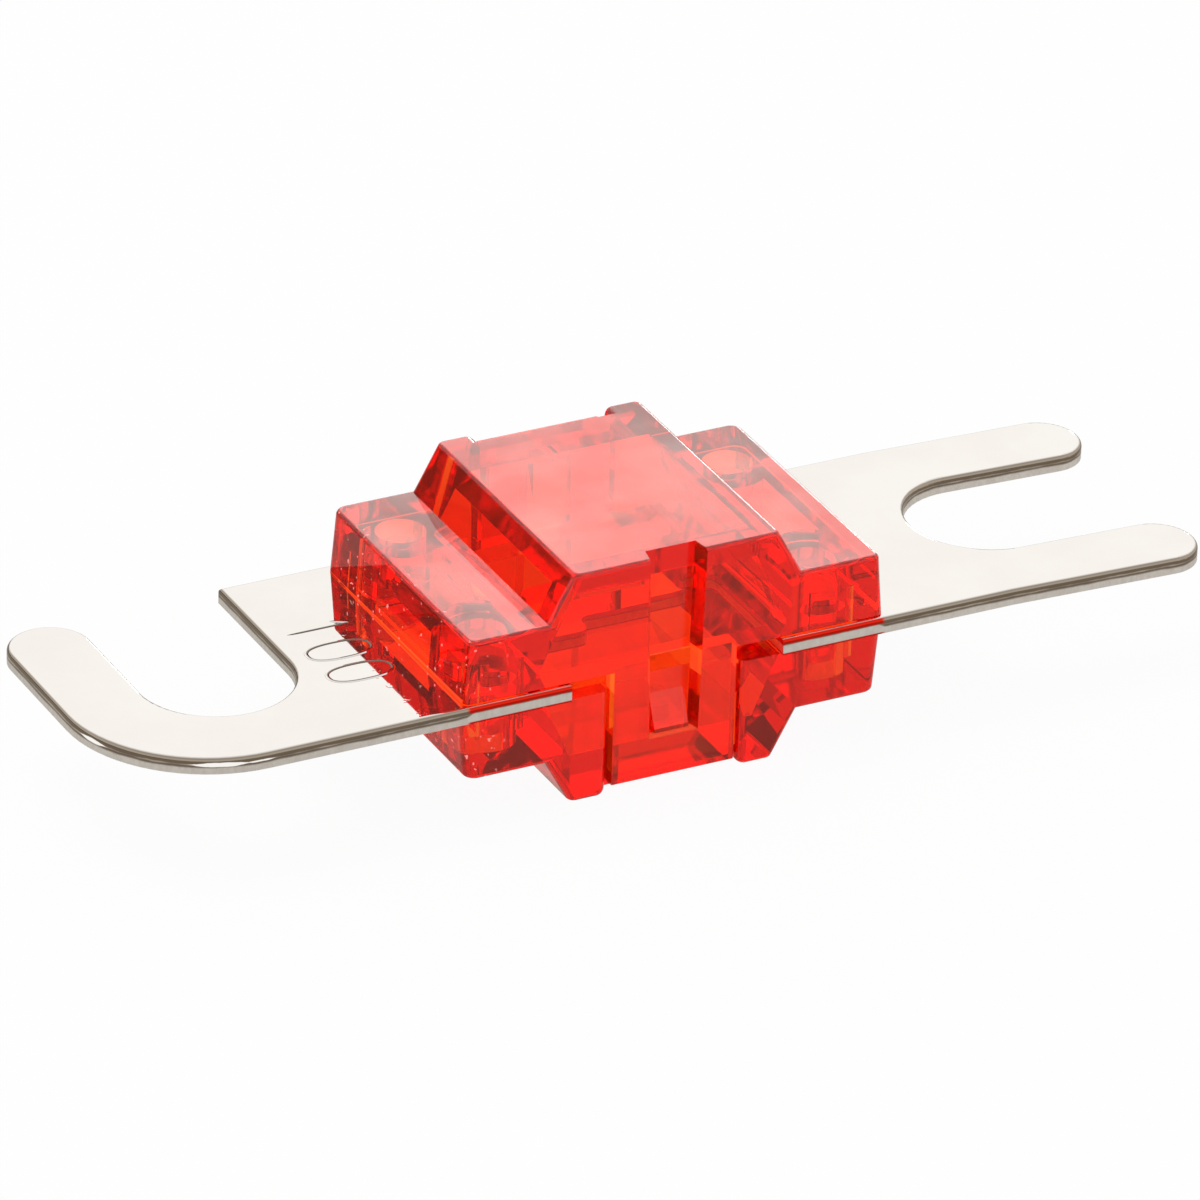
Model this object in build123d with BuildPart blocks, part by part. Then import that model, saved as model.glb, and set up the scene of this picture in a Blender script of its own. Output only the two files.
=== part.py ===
from build123d import *
from math import radians, tan
import os

# A bolt-down strip fuse: one stamped fuse element, held between two equal
# half shells of clear plastic that snap onto each other.
# +X runs along the strip from the hook to the fork, +Y points to the mouth of
# the hook, +Z is up. The origin is the middle of the flat face that the fuse
# rests on, midway between its two bolt centres. Lengths are in millimetres.

# Fuse element
strip_thickness = 0.6
strip_width = 11.4
bolt_spacing = 30.0  # hook's slot centre to fork's slot root
slot_width = 5.6
hook_arm_width = 3.0
hook_corner_radius = 5.2
fork_reach = 6.2  # fork's slot root centre to the prong tips
prong_droop = 1.6  # degrees, the prongs lie slightly low
droop_lead = 1.8  # the droop starts this far before the fork's slot root
edge_roll = 0.16  # rounded upper edge left by the stamping
shoulder_gap = 8.2  # between the two wide ends, inside the shells
bar_width = 1.2  # middle bar of the S-shaped link
neck_width = 1.1  # the two necks that join the bar to the wide ends
neck_offset = 0.45  # from the centre line to the near side of a neck
link_slot = 1.3  # between an end of the bar and the wide end
link_corner_radius = 0.4

# Shells, measured from the middle of the strip's thickness
shell_length = 16.3
shell_width = 11.0
shelf_height = 2.7
crown_height = 4.45
crown_foot_length = 9.8
crown_top_length = 7.86
end_draft = 5.0  # degrees
strip_clearance = 0.03  # between the strip and each shell
tab_corner_radius = 0.3
notch_corner_radius = 0.45
crown_corner_radius = 0.3
edge_radius = 0.18

# Snap tab, the notch that takes it and the catch that holds it
notch_width = 5.05
notch_depth = 0.68
notch_shoulder_radius = 0.35
tab_side_clearance = 0.16
tab_face_clearance = 0.06
tab_end_clearance = 0.35
groove_width = 2.2  # in front, at the crown's top
window_width = 1.9  # in front, at the window's foot
groove_flare = 0.13  # each side of the groove closes in by this much towards its back
window_bar_height = 1.5
groove_beyond_tab = 0.08  # the groove is this much deeper than the tab is thick
catch_height = 0.5
catch_length = 1.35
catch_land = 0.15
catch_clearance = 0.08

# Hollow inside of each shell
wall = 1.0
chamber_wall = 1.7
slope_wall = 1.1
roof = 1.3
end_wall = 0.85
partition = 0.55
pocket_length = 1.8
post_offset = 3.2  # posts and sockets, from the strip's centre line
peg_radius = 0.85
peg_length = 1.9  # beyond the shell's rim
post_radius = 1.4
hole_clearance = 0.06
core_radius = 0.3

# Sizes that follow from the ones above
rim_height = strip_thickness / 2 + strip_clearance
hook_x = -bolt_spacing / 2
fork_x = bolt_spacing / 2
half_width = strip_width / 2
half_slot = slot_width / 2
draft_shift = (shelf_height - rim_height) * tan(radians(end_draft))
pocket_outer = shell_length / 2 - end_wall
pocket_inner = pocket_outer - pocket_length
chamber_half = pocket_inner - partition
post_x = pocket_outer - pocket_length / 2
pocket_height = shelf_height - roof
post_height = pocket_height - rim_height
tab_width = notch_width - 2 * tab_side_clearance
tab_thickness = notch_depth - tab_face_clearance
tab_reach = crown_height - tab_end_clearance
window_foot = tab_reach - window_bar_height
groove_depth = tab_thickness + groove_beyond_tab
catch_width = window_width - 2 * (groove_flare + tab_side_clearance)
notch_floor = shell_width / 2 - notch_depth
pick_tolerance = 0.01  # for edges and corners chosen by their place

upper_seat = Plane(origin=(0, 0, crown_height))
lower_seat = Plane(origin=(0, 0, crown_height), x_dir=(1, 0, 0), z_dir=(0, 0, -1))


def side_plane(seat):
    """Plane through the seat's middle, x along the strip and y up from the seat."""
    return Plane(origin=seat.origin, x_dir=seat.x_dir, z_dir=-seat.y_dir)


def cross_plane(seat):
    """Plane across the strip, x towards the notch side and y up from the seat."""
    return Plane(origin=seat.origin, x_dir=seat.y_dir, z_dir=seat.x_dir)


# Fuse element: its side view gives the droop, its plan the outline
tip_x = fork_x + fork_reach
hook_inner_x = hook_x - half_slot
hook_outer_x = hook_inner_x - hook_arm_width
arm_tip_radius = hook_arm_width / 2
prong_radius = (half_width - half_slot) / 2
prong_x = tip_x - prong_radius
strip_bottom = crown_height - strip_thickness / 2
strip_top = crown_height + strip_thickness / 2
bend_x = fork_x - droop_lead
tip_drop = (tip_x - bend_x) * tan(radians(prong_droop))
shoulder_x = shoulder_gap / 2
bar_end = shoulder_x - link_slot
neck_side = neck_offset + neck_width

with BuildPart() as fuse_element:
    with BuildSketch(Plane.XZ):
        with BuildLine():
            Polyline(
                (hook_outer_x, strip_bottom),
                (bend_x, strip_bottom),
                (tip_x, strip_bottom - tip_drop),
                (tip_x, strip_top - tip_drop),
                (bend_x, strip_top),
                (hook_outer_x, strip_top),
                close=True,
            )
        make_face()
    extrude(amount=half_width, both=True)

    with BuildSketch(Plane.XY.offset(strip_bottom - tip_drop)) as plan:
        with BuildLine():
            front = Line((-shoulder_x, -half_width), (hook_outer_x + hook_corner_radius, -half_width))
            corner_end = (hook_outer_x, hook_corner_radius - half_width)
            corner = TangentArc(front @ 1, corner_end, tangent=front % 1)
            arm = Line(corner @ 1, (hook_outer_x, half_width - arm_tip_radius))
            tip = TangentArc(arm @ 1, (hook_inner_x, half_width - arm_tip_radius), tangent=arm % 1)
            inside = Line(tip @ 1, (hook_inner_x, 0))
            bottom = TangentArc(inside @ 1, (hook_x + half_slot, 0), tangent=inside % 1)
            plate = Line(bottom @ 1, (hook_x + half_slot, half_width))
            rear = Line(plate @ 1, (-shoulder_x, half_width))
            Line(rear @ 1, front @ 0)
        make_face()
        with BuildLine():
            rear = Line((shoulder_x, half_width), (prong_x, half_width))
            rear_tip = TangentArc(rear @ 1, (prong_x, half_slot), tangent=rear % 1)
            slot_rear = Line(rear_tip @ 1, (fork_x, half_slot))
            root = TangentArc(slot_rear @ 1, (fork_x, -half_slot), tangent=slot_rear % 1)
            slot_front = Line(root @ 1, (prong_x, -half_slot))
            front_tip = TangentArc(slot_front @ 1, (prong_x, -half_width), tangent=slot_front % 1)
            front = Line(front_tip @ 1, (shoulder_x, -half_width))
            Line(front @ 1, rear @ 0)
        make_face()
        with BuildLine():
            half = (
                (bar_end - neck_width, bar_width / 2),
                (bar_end - neck_width, neck_side),
                (shoulder_x, neck_side),
                (shoulder_x, neck_offset),
                (bar_end, neck_offset),
                (bar_end, -bar_width / 2),
            )
            Polyline(*half, *((-x, -y) for x, y in half), close=True)
        make_face()
        inner = plan.vertices().filter_by(lambda corner: abs(corner.Y) < neck_side + pick_tolerance)
        link_corners = inner.filter_by(lambda corner: abs(corner.X) < shoulder_x + pick_tolerance)
        fillet(link_corners, radius=link_corner_radius)
        with GridLocations(2 * post_x, 2 * post_offset, 2, 2):
            Circle(peg_radius + hole_clearance, mode=Mode.SUBTRACT)
    extrude(amount=strip_thickness + tip_drop, mode=Mode.INTERSECT)

    # The roll runs round both wide ends, but not over the bend or along the link
    tops = fuse_element.faces().filter_by(lambda face: face.normal_at().Z > 0.9)
    outlines = ShapeList(edge for face in tops for edge in face.outer_wire().edges())
    off_bend = outlines.filter_by(lambda edge: abs(edge.center().X - bend_x) > pick_tolerance)
    rolled = off_bend.filter_by(lambda edge: abs(edge.center().X) > shoulder_x + pick_tolerance)
    fillet(rolled, radius=edge_roll)
fuse_element.part.label = "fuse_element"


def make_core(seat):
    """The space inside one shell: a pocket at each end and the link's chamber."""
    crown_roof = crown_height - roof
    slope = (crown_foot_length - crown_top_length) / 2 / (crown_height - shelf_height)
    roof_half = crown_foot_length / 2 - slope * (crown_roof - shelf_height) - slope_wall
    with BuildPart() as core:
        with BuildSketch(side_plane(seat)):
            with Locations((post_x, pocket_height / 2), (-post_x, pocket_height / 2)):
                Rectangle(pocket_length, pocket_height)
        extrude(amount=shell_width / 2 - wall, both=True)
        corners = core.edges().filter_by(Axis.Z)
        fillet(corners, radius=core_radius)
        with BuildSketch(side_plane(seat)):
            with BuildLine():
                half = Polyline((0, 0), (chamber_half, 0), (roof_half, crown_roof), (0, crown_roof))
                mirror(half, about=Plane.YZ)
            make_face()
        extrude(amount=shell_width / 2 - chamber_wall, both=True)
    return core.part


def make_shell(seat, label):
    """One half shell on its seat, the middle plane of the strip."""
    up = Axis(seat.origin, seat.z_dir)
    across = Axis(seat.origin, seat.y_dir)
    core = make_core(seat)
    with BuildPart() as shell:
        # Stepped body with drafted ends
        with BuildSketch(side_plane(seat)):
            with BuildLine():
                half = Polyline(
                    (0, rim_height),
                    (shell_length / 2, rim_height),
                    (shell_length / 2 - draft_shift, shelf_height),
                    (crown_foot_length / 2, shelf_height),
                    (crown_top_length / 2, crown_height),
                    (0, crown_height),
                )
                mirror(half, about=Plane.YZ)
            make_face()
        extrude(amount=shell_width / 2, both=True)

        # Along the strip the faces run: end, shelf, slope, middle ones, slope, shelf, end
        faces = shell.faces().sort_by(Axis.X)
        ends = [face.edges().sort_by(across) for face in (faces[0], faces[-1])]
        slopes = [face.edges().sort_by(across) for face in (faces[2], faces[-3])]
        fillet([edges[-1] for edges in ends], radius=notch_corner_radius)
        fillet([edges[0] for edges in ends], radius=tab_corner_radius)
        fillet([edges[i] for edges in slopes for i in (0, -1)], radius=crown_corner_radius)
        crown = shell.faces().sort_by(up)[-1]
        fillet(crown.edges(), radius=edge_radius)
        shelf_span = shelf_height - pick_tolerance, shelf_height + pick_tolerance
        shelf_level = shell.edges().filter_by_position(up, *shelf_span)
        foot_reach = crown_foot_length / 2 + crown_corner_radius
        feet = shelf_level.filter_by(lambda edge: abs(edge.center().X) < foot_reach)
        fillet(shelf_level - feet, radius=edge_radius)

        # Notch for the other shell's tab, with rounded shoulders
        with BuildSketch(seat):
            with Locations((0, shell_width / 2)):
                Rectangle(notch_width, 2 * notch_depth)
        extrude(amount=crown_height, mode=Mode.SUBTRACT)
        mouth = shell.edges().filter_by(Axis.Z).group_by(across)[-1]
        shoulders = mouth.sort_by(lambda edge: abs(edge.center().X))[:2]
        fillet(shoulders, radius=notch_shoulder_radius)

        # Hollow inside, then the posts that carry pegs or sockets
        add(core, mode=Mode.SUBTRACT)
        with BuildSketch(seat.offset(rim_height)):
            with GridLocations(2 * post_x, 2 * post_offset, 2, 2):
                Circle(post_radius)
        extrude(amount=post_height)
        with BuildSketch(seat.offset(rim_height)):
            with Locations((-post_x, post_offset), (post_x, post_offset)):
                Circle(peg_radius + hole_clearance)
        extrude(amount=peg_length, mode=Mode.SUBTRACT)
        with BuildSketch(seat.offset(rim_height)):
            with Locations((-post_x, -post_offset), (post_x, -post_offset)):
                Circle(peg_radius)
        extrude(amount=-peg_length)

        # Snap tab
        with BuildSketch(seat.offset(rim_height)):
            with Locations((0, (tab_thickness - shell_width) / 2)):
                Rectangle(tab_width, tab_thickness)
        extrude(amount=-rim_height - tab_reach)

        # Groove that narrows down the crown and the tab, and opens the tab's window
        for height, width in ((crown_height, groove_width), (-window_foot, window_width)):
            with BuildSketch(seat.offset(height)):
                with BuildLine():
                    half = Polyline(
                        (0, -shell_width / 2),
                        (width / 2, -shell_width / 2),
                        (width / 2 - groove_flare, groove_depth - shell_width / 2),
                        (0, groove_depth - shell_width / 2),
                    )
                    mirror(half, about=Plane.YZ)
                make_face()
        loft(ruled=True, mode=Mode.SUBTRACT)

        # Catch on the notch's floor, which the other tab's bar snaps over
        with BuildSketch(cross_plane(seat)):
            ledge = window_foot - catch_clearance
            with BuildLine():
                Polyline(
                    (notch_floor, ledge),
                    (notch_floor + catch_height, ledge),
                    (notch_floor + catch_height, ledge - catch_land),
                    (notch_floor, ledge - catch_length),
                    close=True,
                )
            make_face()
        extrude(amount=catch_width / 2, both=True)
    shell.part.label = label
    return shell.part


os.makedirs("parts", exist_ok=True)
export_step(fuse_element.part, "parts/fuse_element.step")
for label, seat in (("upper_shell", upper_seat), ("lower_shell", lower_seat)):
    export_step(make_shell(seat, label), f"parts/{label}.step")
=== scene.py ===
"""A bolt-down strip fuse: the finish of its plated strip and of its clear red shells."""

import math

import bpy
import numpy as np
from mathutils import Matrix, Vector


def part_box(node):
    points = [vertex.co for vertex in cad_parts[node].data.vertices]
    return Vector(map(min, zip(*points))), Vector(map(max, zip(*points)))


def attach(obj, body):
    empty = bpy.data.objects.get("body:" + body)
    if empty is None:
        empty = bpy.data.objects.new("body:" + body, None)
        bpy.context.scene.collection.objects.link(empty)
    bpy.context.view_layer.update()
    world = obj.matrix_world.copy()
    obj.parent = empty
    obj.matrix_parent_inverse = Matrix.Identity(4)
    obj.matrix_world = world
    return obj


MM = 0.001
BLACK = (0.0, 0.0, 0.0, 1.0)
WHITE = (1.0, 1.0, 1.0, 1.0)

# Lengths are in millimetres and angles in degrees unless a comment says otherwise. A pair gives the two
# values between which something comes in. A pattern's scale is in waves per metre.

# Camera: where it looks, from where, and its lens
CAMERA_TARGET = (-0.16, 0.0, 4.45)
CAMERA_DISTANCE = 384.2
CAMERA_AZIMUTH = -27.5
CAMERA_ELEVATION = 28.3
CAMERA_ROLL = 1.7
CAMERA_LENS = 330.0
CAMERA_SENSOR = 36.0
CAMERA_NEAREST = 10.0

# Plated strip: colours
TIN_LIGHT = (0.95, 0.91, 0.86, 1.0)
TIN_DULL = (0.91, 0.865, 0.805, 1.0)
ROLLED = (0.36, 0.30, 0.235, 1.0)  # painted dark reflection on the rounding along the upper edge
# Burnished band of the stamped edge: its dark colour is partly a painted dark reflection
BURNISHED_DARK_REFLECTION = (0.26, 0.205, 0.155, 1.0)
PAINTED_SHINE = (0.72, 0.64, 0.55, 1.0)  # painted highlight: a lighter shine line along the burnished part
TORN_LIGHT = (1.0, 0.975, 0.94, 1.0)
TORN_DARK = (0.90, 0.86, 0.81, 1.0)
SHELL_RED_REFLECTION = (0.75, 0.02, 0.008, 1.0)  # painted reflection: the red of the shells on the edge that lies between them
BURR_SHADE = (0.20, 0.165, 0.13, 1.0)
# Painted highlight: colour and strength of the glow of the glint spots, which are no lamp
GLINT = (0.85, 0.85, 0.83, 1.0)
GLINT_STRENGTH = 0.5

# Plated strip: sizes. Depths are measured down the stamped edge from the top face.
HALF_STRIP = 0.3  # half its thickness
BEND_X, PRONG_DROOP = 13.2, 1.6  # the prongs droop from here, by so many degrees
FLAT = (0.1, 0.5)  # share of the surface's direction that is up or down, from the edge to the faces
LEVEL = (0.8, 0.98)  # the same, from the rounding of the upper edge to the level face
SHELL_END = (7.8, 8.15)  # from the middle of the strip, either way
BURNISH_DEPTH = 0.23
BURNISH_DEEPER = 0.12  # added to it away from the shells
BURNISH_WANDERS = 0.1  # by how much its lower line rises and falls
TORN_FADE = 0.09  # height over which it gives way to the torn part
# The painted shine line: its depth, width and raggedness
SHINE_DEPTH, SHINE_WIDTH, SHINE_RAGGED = 0.24, 0.05, 0.06
CORE = 0.3  # share of a line's width or a spot's length that it fills before it fades
REFLECTION_END = (8.15, 7.95)  # from the middle of the strip, either way
REFLECTION_ABOVE, REFLECTION_BELOW = (0.22, 0.18), (0.52, 0.56)  # bands of painted red reflection above and below the bare metal
# Painted highlights on the outer bend of the hook, glints that are white and glow: middle, half length and
# half width
GLINTS = (
    ((-17.2, -5.2, 4.4), 1.25, 0.085),
    ((-15.9, -5.6, 4.4), 0.7, 0.035),
    ((-20.3, -2.0, 4.4), 0.8, 0.085),
)
GLINT_RIM = (-0.01, 0.02)  # inwards from a spot's outline
PIT_DEPTH, PIT_STRENGTH = 0.0015, 0.6
RIPPLE_SHARE = 0.8  # of the ripple's depth against the pits'
FACE_ROUGH, FACE_ROUGHER = 0.01, 0.05  # roughness, from 0 to 1: the least, and what a pattern adds
EDGE_ROUGH, TORN_ROUGHER = 0.18, 0.25

# Plated strip: patterns
WANDERING = dict(scale=900.0, detail=2.0, roughness=0.5)
RAGGED = dict(scale=2500.0, detail=3.0, roughness=0.6)
SHINE = dict(scale=500.0, detail=3.0, roughness=0.5)
RIPPLE = dict(scale=420.0, detail=3.0, roughness=0.5)
STREAKS = dict(scale=5000.0, detail=3.0, roughness=0.6, low=0.3, high=0.7)
STREAKS_STAND = (1.0, 1.0, 0.5)  # squeezed like this, the streaks stand upright
# Breaks up the painted shine line
SHINE_BREAKS = dict(scale=700.0, detail=3.0, roughness=0.5, low=0.35, high=0.75)
CLOUDS = dict(scale=160.0, detail=4.0, roughness=0.6, low=0.3, high=0.7)
PITS = dict(scale=2600.0, detail=2.0, roughness=0.4, low=0.34, high=0.42)

# Clear red plastic: colours and light
PLASTIC_IOR = 1.5
PLASTIC_SIDE = (1.0, 0.35, 0.05, 1.0)
# Painted sheen: the paler colour of the faces that look up
PLASTIC_TOP_SHEEN = (1.0, 0.42, 0.36, 1.0)
PLASTIC_FOOT_GLOW = (0.75, 0.06, 0.012, 1.0)  # painted glow along the foot of the end faces, which is no lamp
PLASTIC_SPECK_GLOW = (0.55, 0.30, 0.28, 1.0)  # painted glow of fine specks near the hook
PLASTIC_CLEAR = 0.98  # share of the light that the surface lets in unscattered
PLASTIC_PASSES = (0.98, 0.50, 0.38)  # share of red, green and blue left after a millimetre
PLASTIC_SHADOW = (0.97, 0.55, 0.50, 1.0)
PLASTIC_ROUGH, HAZE_ROUGHER = 0.02, 0.05
SHEEN_LEAST, SHEEN_VARIES = 0.47, 0.5  # share of the painted sheen and coat on the faces that look up
COAT_ROUGH, COAT_IOR = 0.02, 2.0

# Clear red plastic: sizes and patterns
LOOKS_UP = (0.8, 0.98)  # share of the surface's direction that is up
LOOKS_ENDWISE = (0.85, 0.95)  # share of it that is along the strip
RIM_HEIGHT = 0.33  # of a shell's rim, from the strip's middle
FOOT_HEIGHT, FOOT_FADE = 0.085, 0.02  # of the painted foot glow, at the middle of the end face
FOOT_WIDENS = 0.012  # for each millimetre towards the front
SPECKED_END, SPECKED_SIDE, SPECKS_FROM = -7.6, 5.3, -6.0  # the end face, the sides, and where theirs begin
WAVE_DEPTH, WAVE_STRENGTH = 0.02, 0.35
SCUFFS = dict(scale=300.0, detail=3.0, roughness=0.55, low=0.2, high=0.75)
SPECKS = dict(scale=5000.0, detail=1.0, roughness=0.5, low=0.715, high=0.745)
WAVES = dict(scale=350.0, detail=2.0, roughness=0.45)

# Studio. Heights above the horizon and sideways parts are those of a direction of length 1.
SKY_LIGHT = 0.65  # strength of the pale light from all round
DIM_SIDE = 0.2  # strength of what shows through the plastic from the dim side and the horizon
DARK_FLANK = 0.1  # strength of what is mirrored from low down at the studio's dark flank
VIEWER_SIDE = (0.0, 0.5)  # part towards the viewer
VIEWER_DIMS = 0.6  # share by which the viewer's side is dimmer, low down, where it is mirrored once
FLANK_OPENS = (-0.5, -0.2)  # part to the viewer's right
SKY_OPENS = (0.12, 0.3)  # height, for what shows through the plastic
MIRRORED_SKY_OPENS = (0.12, 0.2)  # height, for what is mirrored once
OVERHEAD, OVERHEAD_DIMS = (0.6, 0.85), 0.25  # height, and the share by which it is dimmer there
MIRRORED_ONCE = 2.5  # the studio counts itself as a ray's last step, so one mirroring makes two
LIGHT_BOUNCES = 40  # light finds its way out of the clear plastic only after many
FLOOR_COLOUR = (0.9, 0.9, 0.9, 1.0)
FLOOR_GLOWS = 0.95  # share of its white that doesn't come from the lamps
FLOOR_REACH = 1000.0
FLOOR_GAP = 0.02  # light leaves the clear plastic before it meets the floor
DIM_FLOOR = (0.51, 0.48, 0.44, 1.0)  # what is mirrored from the floor

# Lamps: place and size in metres, power in watts
LAMPS_LOOK_AT = (0.0, 0.0, 0.004)
OVERHEAD_LAMP = dict(place=(-0.15, 0.1, 0.5), size=(0.3, 0.3), power=0.9, mirrored=False)
REAR_LAMP = dict(place=(0.41, 0.547, 0.153), size=(0.07, 0.07), power=0.15)
SHEEN_LAMP = dict(place=(0.203, 0.39, 0.241), size=(0.3, 0.3), power=0.15,
                  colour=(1.0, 0.95, 0.78), only=("upper_shell", "lower_shell"))

# Stamped rating, a plain number read from the rear of the strip to its front
DIGIT_HEIGHT = 2.4
DIGIT_WIDTH = 1.15
DIGIT_PITCH = 1.68
DIGIT_FOOT_X = -11.5
FIRST_DIGIT_Y = 1.6
FLAG_REACH, FLAG_FOOT = 0.28, 0.74  # of the one: shares of the digit's width and height
NOUGHT_POWER = 0.8  # 2 / 2.5, for a superellipse of exponent 2.5
STRAIGHT_STEPS, ROUND_STEPS = 16, 72
STROKE_WIDTH = 0.15
STROKE_STEPS = 13
ROUND_END = 4.0  # steps over which an open stroke narrows
NARROWEST = 0.02  # share of the width left at its tip
BURR_HEIGHT = 0.02
BURR_LIT, BURR_STEEP = 0.6, 1.6  # shade on top of the burr, and how fast it grows across
BURR_LEAST = 0.01  # shade of the lit flank, which marks it as part of a stroke
UNDERSIDE, UNDERSIDE_REACH = 0.02, 0.5  # its depth, and its share of the stroke's width
STROKE_LIFT = 0.002

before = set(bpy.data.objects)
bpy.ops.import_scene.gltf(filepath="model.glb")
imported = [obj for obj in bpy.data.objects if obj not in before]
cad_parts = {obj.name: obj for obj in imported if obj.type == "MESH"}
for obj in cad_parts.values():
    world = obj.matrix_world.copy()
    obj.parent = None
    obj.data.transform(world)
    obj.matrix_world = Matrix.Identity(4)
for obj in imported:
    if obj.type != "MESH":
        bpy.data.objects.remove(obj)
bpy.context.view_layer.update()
strip_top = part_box("fuse_element")[1].z
strip_middle = strip_top - HALF_STRIP * MM


def nodes_of(name):
    """A new material, its node tree emptied but for the output, and that output."""
    material = bpy.data.materials.new(name)
    material.use_nodes = True
    tree = material.node_tree
    tree.nodes.clear()
    output = tree.nodes.new("ShaderNodeOutputMaterial")
    return material, tree, output


def link(tree, source, target):
    tree.links.new(source, target)


def math_node(tree, operation, a, b=None):
    node = tree.nodes.new("ShaderNodeMath")
    node.operation = operation
    for socket, value in zip(node.inputs, (a, b)):
        if value is None:
            continue
        if isinstance(value, (int, float)):
            socket.default_value = value
        else:
            link(tree, value, socket)
    return node.outputs[0]


def plus(tree, a, b):
    return math_node(tree, "ADD", a, b)


def minus(tree, a, b):
    return math_node(tree, "SUBTRACT", a, b)


def times(tree, a, b):
    return math_node(tree, "MULTIPLY", a, b)


def larger(tree, a, b):
    return math_node(tree, "MAXIMUM", a, b)


def magnitude(tree, a):
    return math_node(tree, "ABSOLUTE", a)


def ramp_between(tree, value, low, high):
    """0 where value is at low, 1 where it is at high, held past them, and smooth in between."""
    node = tree.nodes.new("ShaderNodeMapRange")
    node.interpolation_type = "SMOOTHSTEP"
    link(tree, value, node.inputs["Value"])
    node.inputs["From Min"].default_value = low
    node.inputs["From Max"].default_value = high
    return node.outputs["Result"]


def ramp_mm(tree, value, low, high):
    """ramp_between for a length: low and high are in millimetres."""
    return ramp_between(tree, value, low * MM, high * MM)


def mix_value(tree, share, a, b):
    node = tree.nodes.new("ShaderNodeMix")
    link(tree, share, node.inputs["Factor"])
    link(tree, a, node.inputs["A"])
    link(tree, b, node.inputs["B"])
    return node.outputs["Result"]


def mix_colour(tree, share, a, b):
    node = tree.nodes.new("ShaderNodeMix")
    node.data_type = "RGBA"
    link(tree, share, node.inputs["Factor"])
    for name, value in (("A", a), ("B", b)):
        socket = [s for s in node.inputs if s.name == name and s.type == "RGBA"][0]
        if isinstance(value, tuple):
            socket.default_value = value
        else:
            link(tree, value, socket)
    return [s for s in node.outputs if s.type == "RGBA"][0]


def vector_node(tree, operation, vector, fixed):
    """The distance between vector and the fixed one, or their dot product."""
    node = tree.nodes.new("ShaderNodeVectorMath")
    node.operation = operation
    link(tree, vector, node.inputs[0])
    node.inputs[1].default_value = fixed
    return node.outputs["Value"]


def split(tree, vector):
    node = tree.nodes.new("ShaderNodeSeparateXYZ")
    link(tree, vector, node.inputs[0])
    return node.outputs["X"], node.outputs["Y"], node.outputs["Z"]


def noise(tree, coordinates, scale, detail, roughness):
    node = tree.nodes.new("ShaderNodeTexNoise")
    link(tree, coordinates, node.inputs["Vector"])
    node.inputs["Scale"].default_value = scale
    node.inputs["Detail"].default_value = detail
    node.inputs["Roughness"].default_value = roughness
    return node.outputs["Fac"]


def stretched(tree, coordinates, scale):
    node = tree.nodes.new("ShaderNodeMapping")
    link(tree, coordinates, node.inputs["Vector"])
    node.inputs["Scale"].default_value = scale
    return node.outputs["Vector"]


def bumped(tree, height, distance, strength):
    node = tree.nodes.new("ShaderNodeBump")
    node.inputs["Distance"].default_value = distance * MM
    node.inputs["Strength"].default_value = strength
    link(tree, height, node.inputs["Height"])
    return node.outputs["Normal"]


def mottle_group():
    """Soft patches, for both finishes: Mask is 0 where the noise is at Low, 1 where it is at High, and
    smooth in between."""
    group = bpy.data.node_groups.new("mottle", "ShaderNodeTree")
    group.interface.new_socket("Place", in_out="INPUT", socket_type="NodeSocketVector")
    for name in ("Scale", "Detail", "Roughness", "Low", "High"):
        group.interface.new_socket(name, in_out="INPUT", socket_type="NodeSocketFloat")
    group.interface.new_socket("Mask", in_out="OUTPUT", socket_type="NodeSocketFloat")
    given = group.nodes.new("NodeGroupInput").outputs
    grain = group.nodes.new("ShaderNodeTexNoise")
    link(group, given["Place"], grain.inputs["Vector"])
    for name in ("Scale", "Detail", "Roughness"):
        link(group, given[name], grain.inputs[name])
    ramp = group.nodes.new("ShaderNodeMapRange")
    ramp.interpolation_type = "SMOOTHSTEP"
    link(group, grain.outputs["Fac"], ramp.inputs["Value"])
    link(group, given["Low"], ramp.inputs["From Min"])
    link(group, given["High"], ramp.inputs["From Max"])
    link(group, ramp.outputs["Result"], group.nodes.new("NodeGroupOutput").inputs["Mask"])
    return group


def mottled(tree, coordinates, **values):
    """The mottle group's mask at these coordinates, with values for its other inputs."""
    node = tree.nodes.new("ShaderNodeGroup")
    node.node_tree = mottle
    link(tree, coordinates, node.inputs["Place"])
    for name, value in values.items():
        node.inputs[name.capitalize()].default_value = value
    return node.outputs["Mask"]


def place_on_strip(tree, place):
    """How far a point is from the strip's middle, either way, and how far below the strip's top, which
    falls away where the prongs droop."""
    x, _, z = split(tree, place)
    past_bend = larger(tree, minus(tree, x, BEND_X * MM), 0.0)
    droop = times(tree, past_bend, math.tan(math.radians(PRONG_DROOP)))
    return magnitude(tree, x), minus(tree, minus(tree, strip_top, droop), z)


def stamped_edge(tree, place, off_shells, below_top):
    """The stamped edge's colour, and the share of it that is torn: burnished and dark, the darkness partly a
    painted dark reflection, down to a line that wanders and lies deeper away from the shells, and torn and
    streaky below it."""
    wander = times(tree, noise(tree, place, **WANDERING), BURNISH_WANDERS * MM)
    lowered = times(tree, off_shells, BURNISH_DEEPER * MM)
    depth = plus(tree, minus(tree, below_top, lowered), wander)
    torn = ramp_mm(tree, depth, BURNISH_DEPTH, BURNISH_DEPTH + TORN_FADE)
    streaks = mottled(tree, stretched(tree, place, STREAKS_STAND), **STREAKS)
    return mix_colour(tree, torn, BURNISHED_DARK_REFLECTION, mix_colour(tree, streaks, TORN_DARK, TORN_LIGHT)), torn


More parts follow.
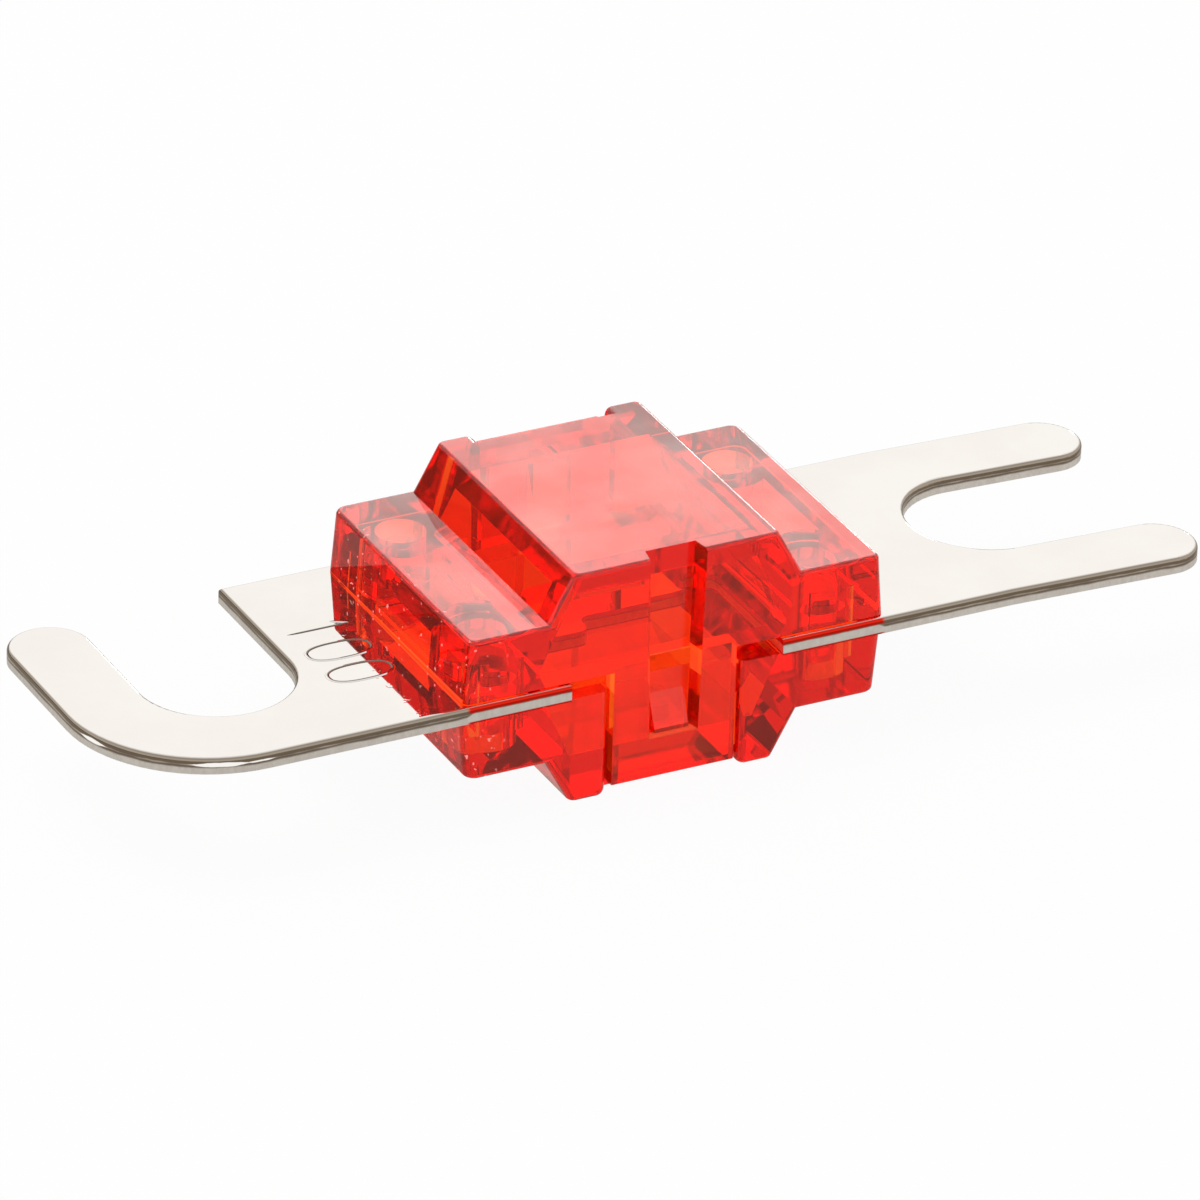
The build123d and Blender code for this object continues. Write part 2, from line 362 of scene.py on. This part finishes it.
def off_shine_line(tree, place, below_top):
    """How far up or down a point is from the ragged line along the burnished part where the painted shine
    line lies.
    """
    ragged = times(tree, noise(tree, place, **RAGGED), SHINE_RAGGED * MM)
    return magnitude(tree, minus(tree, plus(tree, below_top, ragged), (SHINE_DEPTH + SHINE_RAGGED / 2) * MM))


def painted_glint_spots(tree, place, off_line):
    """1 in the painted highlights on the hook's outer bend, along the painted shine line. Each narrows from
    its half width at the middle to nothing at its half length."""
    glint_mask = 0.0
    for middle, half_length, half_width in GLINTS:
        away = vector_node(tree, "DISTANCE", place, [value * MM for value in middle])
        near = ramp_mm(tree, away, half_length, CORE * half_length)
        inside = minus(tree, times(tree, near, half_width * MM), off_line)
        glint_mask = larger(tree, ramp_mm(tree, inside, *GLINT_RIM), glint_mask)
    return glint_mask


def plated_strip():
    """Bright satin tin on the faces, with a painted dark reflection where the upper edge is rounded. The
    stamped edge is burnished above, its darkness partly a painted dark reflection, and torn below, with a
    painted shine line, painted glowing highlights on the hook's bend, and a painted red reflection of the
    shells between them. The burr attribute darkens the flank of a scribed stroke that lies in the shade."""
    material, tree, output = nodes_of("plated_strip")
    shader = tree.nodes.new("ShaderNodeBsdfPrincipled")
    shader.inputs["Metallic"].default_value = 1.0
    place = tree.nodes.new("ShaderNodeTexCoord").outputs["Object"]
    upright = magnitude(tree, split(tree, tree.nodes.new("ShaderNodeNewGeometry").outputs["Normal"])[2])
    flat = ramp_between(tree, upright, *FLAT)
    from_middle, below_top = place_on_strip(tree, place)
    off_shells = ramp_mm(tree, from_middle, *SHELL_END)

    edge, torn = stamped_edge(tree, place, off_shells, below_top)
    off_line = off_shine_line(tree, place, below_top)
    # Painted highlight: a broken shine line along the burnished part, away from the shells.
    shine_breaks = mottled(tree, place, **SHINE_BREAKS)
    shine_line = times(tree, ramp_mm(tree, off_line, SHINE_WIDTH, CORE * SHINE_WIDTH), shine_breaks)
    edge = mix_colour(tree, times(tree, shine_line, off_shells), edge, PAINTED_SHINE)
    glint_mask = painted_glint_spots(tree, place, off_line)
    # Painted highlight: the glint spots turn the edge white and make it glow.
    edge = mix_colour(tree, glint_mask, edge, WHITE)
    link(tree, mix_colour(tree, glint_mask, BLACK, GLINT), shader.inputs["Emission Color"])
    shader.inputs["Emission Strength"].default_value = GLINT_STRENGTH
    # Painted reflection: the red of the shells is laid on the edge and on its rounding between them.
    between_shells = ramp_mm(tree, from_middle, *REFLECTION_END)
    reflection_bands = larger(tree, ramp_mm(tree, below_top, *REFLECTION_ABOVE), ramp_mm(tree, below_top, *REFLECTION_BELOW))
    edge = mix_colour(tree, times(tree, between_shells, reflection_bands), edge, SHELL_RED_REFLECTION)

    face = mix_colour(tree, mottled(tree, place, **CLOUDS), TIN_DULL, TIN_LIGHT)
    # Painted dark reflection on the rounding of the upper edge.
    rolled = mix_colour(tree, between_shells, ROLLED, SHELL_RED_REFLECTION)
    face = mix_colour(tree, ramp_between(tree, upright, *LEVEL), rolled, face)
    metal = mix_colour(tree, flat, edge, face)
    burr = tree.nodes.new("ShaderNodeAttribute")
    burr.attribute_name = "burr"
    scribed = math_node(tree, "GREATER_THAN", burr.outputs["Fac"], BURR_LEAST / 10)
    metal = mix_colour(tree, scribed, metal, TIN_LIGHT)
    link(tree, mix_colour(tree, burr.outputs["Fac"], metal, BURR_SHADE), shader.inputs["Base Color"])

    rough_face = plus(tree, times(tree, noise(tree, place, **SHINE), FACE_ROUGHER), FACE_ROUGH)
    rough_edge = plus(tree, times(tree, torn, TORN_ROUGHER), EDGE_ROUGH)
    link(tree, mix_value(tree, flat, rough_edge, rough_face), shader.inputs["Roughness"])
    ripple = times(tree, noise(tree, place, **RIPPLE), RIPPLE_SHARE)
    relief = plus(tree, mottled(tree, place, **PITS), ripple)
    link(tree, bumped(tree, relief, PIT_DEPTH, PIT_STRENGTH), shader.inputs["Normal"])
    link(tree, shader.outputs[0], output.inputs["Surface"])
    return material


def painted_foot_glow(tree, place, endwise):
    """1 along the foot of the shells' end faces, next to the strip, where the painted glow lies. The foot
    gets higher to the front.
    """
    _, y, z = split(tree, place)
    off_strip = magnitude(tree, minus(tree, z, strip_middle))
    forward = times(tree, y, -FOOT_WIDENS)
    over_rim = minus(tree, minus(tree, off_strip, RIM_HEIGHT * MM), forward)
    low = ramp_mm(tree, over_rim, FOOT_HEIGHT + FOOT_FADE, FOOT_HEIGHT - FOOT_FADE)
    return times(tree, low, endwise)


def painted_specks(tree, place):
    """1 in fine specks of painted glow, which lie on the end face at the hook and on the sides near it."""
    x, y, _ = split(tree, place)
    on_end = math_node(tree, "LESS_THAN", x, SPECKED_END * MM)
    on_side = math_node(tree, "GREATER_THAN", magnitude(tree, y), SPECKED_SIDE * MM)
    near_end = ramp_mm(tree, x, SPECKS_FROM, SPECKED_END)
    speckled = larger(tree, on_end, times(tree, on_side, near_end))
    return times(tree, mottled(tree, place, **SPECKS), speckled)


def absorb_with_depth(tree, output):
    """The inside takes exp(-density * (1 - colour)) of each colour per metre, so that after a millimetre
    the given shares are left."""
    absorbs = [-math.log(share) / MM for share in PLASTIC_PASSES]
    density = max(absorbs)
    volume = tree.nodes.new("ShaderNodeVolumeAbsorption")
    volume.inputs["Density"].default_value = density
    volume.inputs["Color"].default_value = (*(1 - a / density for a in absorbs), 1.0)
    link(tree, volume.outputs[0], output.inputs["Volume"])


def red_plastic():
    """Clear red moulded plastic: colour gathers with the thickness that light passes. The faces that look up
    carry a pale painted sheen and a coat, patchy by a noise pattern that also hazes their roughness. A
    painted red glow lies along the foot of the end faces, and fine specks of painted glow lie near the hook.
    Lamps shine through it as through a red pane."""
    material, tree, output = nodes_of("red_plastic")
    shader = tree.nodes.new("ShaderNodeBsdfPrincipled")
    shader.inputs["IOR"].default_value = PLASTIC_IOR
    shader.inputs["Transmission Weight"].default_value = PLASTIC_CLEAR
    shader.inputs["Coat Roughness"].default_value = COAT_ROUGH
    shader.inputs["Coat IOR"].default_value = COAT_IOR
    place = tree.nodes.new("ShaderNodeTexCoord").outputs["Object"]
    facing = split(tree, tree.nodes.new("ShaderNodeNewGeometry").outputs["True Normal"])
    up = ramp_between(tree, facing[2], *LOOKS_UP)
    endwise = ramp_between(tree, magnitude(tree, facing[0]), *LOOKS_ENDWISE)

    scuffs = mottled(tree, place, **SCUFFS)
    # Painted sheen: the faces that look up turn paler and get a coat, patchy by the scuff pattern.
    top_sheen = times(tree, up, plus(tree, times(tree, scuffs, SHEEN_VARIES), SHEEN_LEAST))
    link(tree, mix_colour(tree, top_sheen, PLASTIC_SIDE, PLASTIC_TOP_SHEEN), shader.inputs["Base Color"])
    link(tree, top_sheen, shader.inputs["Coat Weight"])
    haze = times(tree, times(tree, up, scuffs), HAZE_ROUGHER)
    link(tree, plus(tree, haze, PLASTIC_ROUGH), shader.inputs["Roughness"])
    # Painted glow: the foot of the end faces lights up through Emission Color, though it is no lamp.
    glow = mix_colour(tree, painted_foot_glow(tree, place, endwise), BLACK, PLASTIC_FOOT_GLOW)
    # Painted glow: fine specks near the hook light up as well.
    glow = mix_colour(tree, painted_specks(tree, place), glow, PLASTIC_SPECK_GLOW)
    link(tree, glow, shader.inputs["Emission Color"])
    shader.inputs["Emission Strength"].default_value = 1.0
    waves = bumped(tree, noise(tree, place, **WAVES), WAVE_DEPTH, WAVE_STRENGTH)
    link(tree, waves, shader.inputs["Normal"])

    lamp_light = tree.nodes.new("ShaderNodeBsdfTransparent")
    lamp_light.inputs["Color"].default_value = PLASTIC_SHADOW
    surface = tree.nodes.new("ShaderNodeMixShader")
    link(tree, tree.nodes.new("ShaderNodeLightPath").outputs["Is Shadow Ray"], surface.inputs[0])
    link(tree, shader.outputs[0], surface.inputs[1])
    link(tree, lamp_light.outputs[0], surface.inputs[2])
    link(tree, surface.outputs[0], output.inputs["Surface"])
    absorb_with_depth(tree, output)
    return material


def dress(node, material):
    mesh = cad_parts[node].data
    mesh.materials.clear()
    mesh.materials.append(material)


def scribed_stroke(points, name, closed):
    """A scribed stroke along points on the strip's top. Across the stroke t runs from -1 to 1 and the
    height is the burr's (1 - t^2)^2, and a flat underside just inside the strip closes the section. An open
    stroke narrows to a round point at each end; a closed one joins its ends. The burr attribute rises
    smoothly from the lit flank of the burr, where it is next to nothing, to 1 on the flank in the shade."""
    points = np.asarray(points, float)
    if closed:
        along = np.roll(points, -1, axis=0) - np.roll(points, 1, axis=0)
        taper = np.ones(len(points))
    else:
        along = np.gradient(points, axis=0)
        from_end = np.minimum(np.arange(len(points)), np.arange(len(points))[::-1])
        taper = np.sqrt(1.0 - (1.0 - np.clip(from_end / ROUND_END, 0.0, 1.0)) ** 2)
    along /= np.linalg.norm(along, axis=1)[:, None]
    side = np.stack([-along[:, 1], along[:, 0]], axis=1)
    t = np.linspace(-1.0, 1.0, STROKE_STEPS)
    across = np.concatenate([t, [UNDERSIDE_REACH, -UNDERSIDE_REACH]])
    lift = np.concatenate([BURR_HEIGHT * (1.0 - t**2) ** 2, [-UNDERSIDE, -UNDERSIDE]])
    shade = np.clip(across * BURR_STEEP + BURR_LIT, 0.0, 1.0)
    half = STROKE_WIDTH / 2 * np.maximum(taper, NARROWEST)
    xy = points[:, None, :] + side[:, None, :] * (half[:, None] * across[None, :])[..., None]
    z = lift[None, :] * np.where(lift[None, :] < 0, 1.0, taper[:, None])
    vertices = np.concatenate([xy, z[..., None]], axis=2).reshape(-1, 3) * MM
    vertices[:, 2] += strip_top + STROKE_LIFT * MM
    rows, columns = len(points), len(across)
    i, j = np.meshgrid(np.arange(rows if closed else rows - 1), np.arange(columns), indexing="ij")
    i, j = i.ravel(), j.ravel()
    next_i, next_j = (i + 1) % rows, (j + 1) % columns
    corners = (i * columns + j, i * columns + next_j, next_i * columns + next_j, next_i * columns + j)
    faces = np.stack(corners, axis=1).tolist()
    if not closed:
        first, last = list(range(columns)), list(range((rows - 1) * columns, rows * columns))
        faces += [first[::-1], last]
    mesh = bpy.data.meshes.new(name)
    mesh.from_pydata(vertices.tolist(), [], faces)
    mesh.update()
    mesh.polygons.foreach_set("use_smooth", np.ones(len(mesh.polygons), bool))
    burr = mesh.attributes.new("burr", "FLOAT", "POINT")
    burr.data.foreach_set("value", np.tile(BURR_LEAST + (1.0 - BURR_LEAST) * shade, rows))
    piece = bpy.data.objects.new(name, mesh)
    bpy.context.scene.collection.objects.link(piece)
    return piece


def digit_place(u, v, index):
    """Places on the strip for u across and v up a digit. Digits read towards -Y, with their tops to +X."""
    x = DIGIT_FOOT_X + DIGIT_HEIGHT * v
    y = FIRST_DIGIT_Y - DIGIT_PITCH * index - DIGIT_WIDTH * u
    return np.stack([x, y], axis=1)


def rating_strokes():
    """The number 100. The one is a flag and a stem. A nought is a superellipse: while a turns once, it goes
    across as cos a and up as sin a, each with its size raised to NOUGHT_POWER and its sign kept."""
    t = np.linspace(0.0, 1.0, STRAIGHT_STEPS)
    flag = digit_place(FLAG_REACH * (t - 1.0), FLAG_FOOT + (1.0 - FLAG_FOOT) * t, 0)
    stem = digit_place(0.0 * t, 1.0 - t, 0)
    strokes = [("stamped_one_flag", flag, False), ("stamped_one_stem", stem, False)]
    turn = np.linspace(0.0, 2.0 * math.pi, ROUND_STEPS, endpoint=False)
    u = 0.5 * np.sign(np.cos(turn)) * np.abs(np.cos(turn)) ** NOUGHT_POWER
    v = 0.5 + 0.5 * np.sign(np.sin(turn)) * np.abs(np.sin(turn)) ** NOUGHT_POWER
    for index in (1, 2):
        strokes.append((f"stamped_nought_{index}", digit_place(u, v, index), True))
    return strokes


def add_rating(material):
    for name, points, closed in rating_strokes():
        piece = scribed_stroke(points, name, closed)
        piece.data.materials.append(material)
        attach(piece, "root")


def floor_material():
    """White to the eye, dimmer where it is mirrored, and a plain pale surface to the lamps, so that it
    keeps a soft shadow."""
    material, tree, output = nodes_of("floor")
    diffuse = tree.nodes.new("ShaderNodeBsdfDiffuse")
    diffuse.inputs["Color"].default_value = FLOOR_COLOUR
    glow = tree.nodes.new("ShaderNodeEmission")
    path = tree.nodes.new("ShaderNodeLightPath").outputs
    mirrored = times(tree, path["Is Glossy Ray"], minus(tree, 1.0, path["Is Transmission Ray"]))
    link(tree, mix_colour(tree, mirrored, WHITE, DIM_FLOOR), glow.inputs["Color"])
    seen = larger(tree, path["Is Camera Ray"], path["Is Glossy Ray"])
    surface = tree.nodes.new("ShaderNodeMixShader")
    link(tree, times(tree, seen, FLOOR_GLOWS), surface.inputs[0])
    link(tree, diffuse.outputs[0], surface.inputs[1])
    link(tree, glow.outputs[0], surface.inputs[2])
    link(tree, surface.outputs[0], output.inputs["Surface"])
    return material


def add_floor():
    mesh = bpy.data.meshes.new("floor")
    reach, level = FLOOR_REACH * MM, -FLOOR_GAP * MM
    corners = [(-reach, -reach, level), (reach, -reach, level), (reach, reach, level), (-reach, reach, level)]
    mesh.from_pydata(corners, [], [(0, 1, 2, 3)])
    mesh.materials.append(floor_material())
    floor = bpy.data.objects.new("floor", mesh)
    bpy.context.scene.collection.objects.link(floor)


def add_lamp(name, place, size, power, colour=(1.0, 1.0, 1.0), mirrored=True, only=()):
    """A soft box that looks at the fuse. With only, it lights those solids and nothing else."""
    data = bpy.data.lights.new(name, "AREA")
    data.shape = "RECTANGLE"
    data.size, data.size_y = size
    data.energy = power
    data.color = colour
    lamp = bpy.data.objects.new(name, data)
    bpy.context.scene.collection.objects.link(lamp)
    lamp.location = place
    lamp.rotation_euler = (Vector(LAMPS_LOOK_AT) - Vector(place)).to_track_quat("-Z", "Y").to_euler()
    lamp.visible_glossy = mirrored
    if only:
        receivers = bpy.data.collections.new(name)
        for node in only:
            receivers.objects.link(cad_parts[node])
        lamp.light_linking.receiver_collection = receivers


def seen_through_plastic(tree, height, dim_side):
    """Strength of what shows through the plastic: white, but dim at the viewer's side and low down."""
    lit = times(tree, ramp_between(tree, height, *SKY_OPENS), minus(tree, 1.0, dim_side))
    return plus(tree, times(tree, lit, 1.0 - DIM_SIDE), DIM_SIDE)


def seen_mirrored(tree, height, sideways, dim_side, depth):
    """Strength of what is mirrored. Mirrored once, it is bright from a little above the horizon. Lower
    down, and where it is mirrored again, it is dark at the flank on the viewer's left and dim at the
    viewer's side. Overhead it is a little dimmer."""
    once = math_node(tree, "LESS_THAN", depth, MIRRORED_ONCE)
    open_high = times(tree, ramp_between(tree, height, *MIRRORED_SKY_OPENS), once)
    dimming = minus(tree, 1.0, times(tree, once, 1.0 - VIEWER_DIMS))
    open_side = ramp_between(tree, sideways, *FLANK_OPENS)
    open_low = times(tree, minus(tree, 1.0, times(tree, dim_side, dimming)), open_side)
    overhead = times(tree, ramp_between(tree, height, *OVERHEAD), OVERHEAD_DIMS)
    open_share = times(tree, larger(tree, open_high, open_low), minus(tree, 1.0, overhead))
    return plus(tree, times(tree, open_share, 1.0 - DARK_FLANK), DARK_FLANK)


def add_world():
    """White to the eye, a studio of its own to what is mirrored and to what shows through the plastic, and
    a softer pale light to all else."""
    world = bpy.data.worlds.new("studio")
    bpy.context.scene.world = world
    world.use_nodes = True
    tree = world.node_tree
    background = tree.nodes["Background"]
    background.inputs["Color"].default_value = WHITE
    direction = tree.nodes.new("ShaderNodeTexCoord").outputs["Generated"]
    height = split(tree, direction)[2]
    azimuth = math.radians(CAMERA_AZIMUTH)
    to_viewer = vector_node(tree, "DOT_PRODUCT", direction, (math.sin(azimuth), -math.cos(azimuth), 0.0))
    sideways = vector_node(tree, "DOT_PRODUCT", direction, (math.cos(azimuth), math.sin(azimuth), 0.0))
    dim_side = ramp_between(tree, to_viewer, *VIEWER_SIDE)
    path = tree.nodes.new("ShaderNodeLightPath").outputs
    passed = seen_through_plastic(tree, height, dim_side)
    mirrored = seen_mirrored(tree, height, sideways, dim_side, path["Ray Depth"])
    seen = mix_value(tree, path["Is Transmission Ray"], mirrored, passed)
    shiny = larger(tree, path["Is Glossy Ray"], path["Is Transmission Ray"])
    plain = larger(tree, path["Is Camera Ray"], SKY_LIGHT)
    link(tree, mix_value(tree, shiny, plain, seen), background.inputs["Strength"])


def add_camera():
    data = bpy.data.cameras.new("camera")
    data.sensor_width = CAMERA_SENSOR
    data.lens = CAMERA_LENS
    data.clip_start = CAMERA_NEAREST * MM
    camera = bpy.data.objects.new("camera", data)
    bpy.context.scene.collection.objects.link(camera)
    azimuth, elevation = math.radians(CAMERA_AZIMUTH), math.radians(CAMERA_ELEVATION)
    outward = Vector((math.sin(azimuth) * math.cos(elevation),
                      -math.cos(azimuth) * math.cos(elevation), math.sin(elevation)))
    target = Vector(CAMERA_TARGET) * MM
    place = target + outward * CAMERA_DISTANCE * MM
    turn = (target - place).to_track_quat("-Z", "Y").to_matrix()
    roll = Matrix.Rotation(math.radians(CAMERA_ROLL), 3, "Z")
    camera.matrix_world = Matrix.Translation(place) @ (turn @ roll).to_4x4()
    bpy.context.scene.camera = camera


mottle = mottle_group()
tin = plated_strip()
plastic = red_plastic()
dress("fuse_element", tin)
dress("upper_shell", plastic)
dress("lower_shell", plastic)
add_rating(tin)
add_floor()
add_world()
add_lamp("overhead", **OVERHEAD_LAMP)
add_lamp("rear", **REAR_LAMP)
add_lamp("sheen", **SHEEN_LAMP)
add_camera()
bpy.context.scene.view_settings.view_transform = "Standard"
bpy.context.scene.cycles.max_bounces = LIGHT_BOUNCES
bpy.context.scene.cycles.transmission_bounces = LIGHT_BOUNCES
bpy.context.scene.cycles.glossy_bounces = LIGHT_BOUNCES
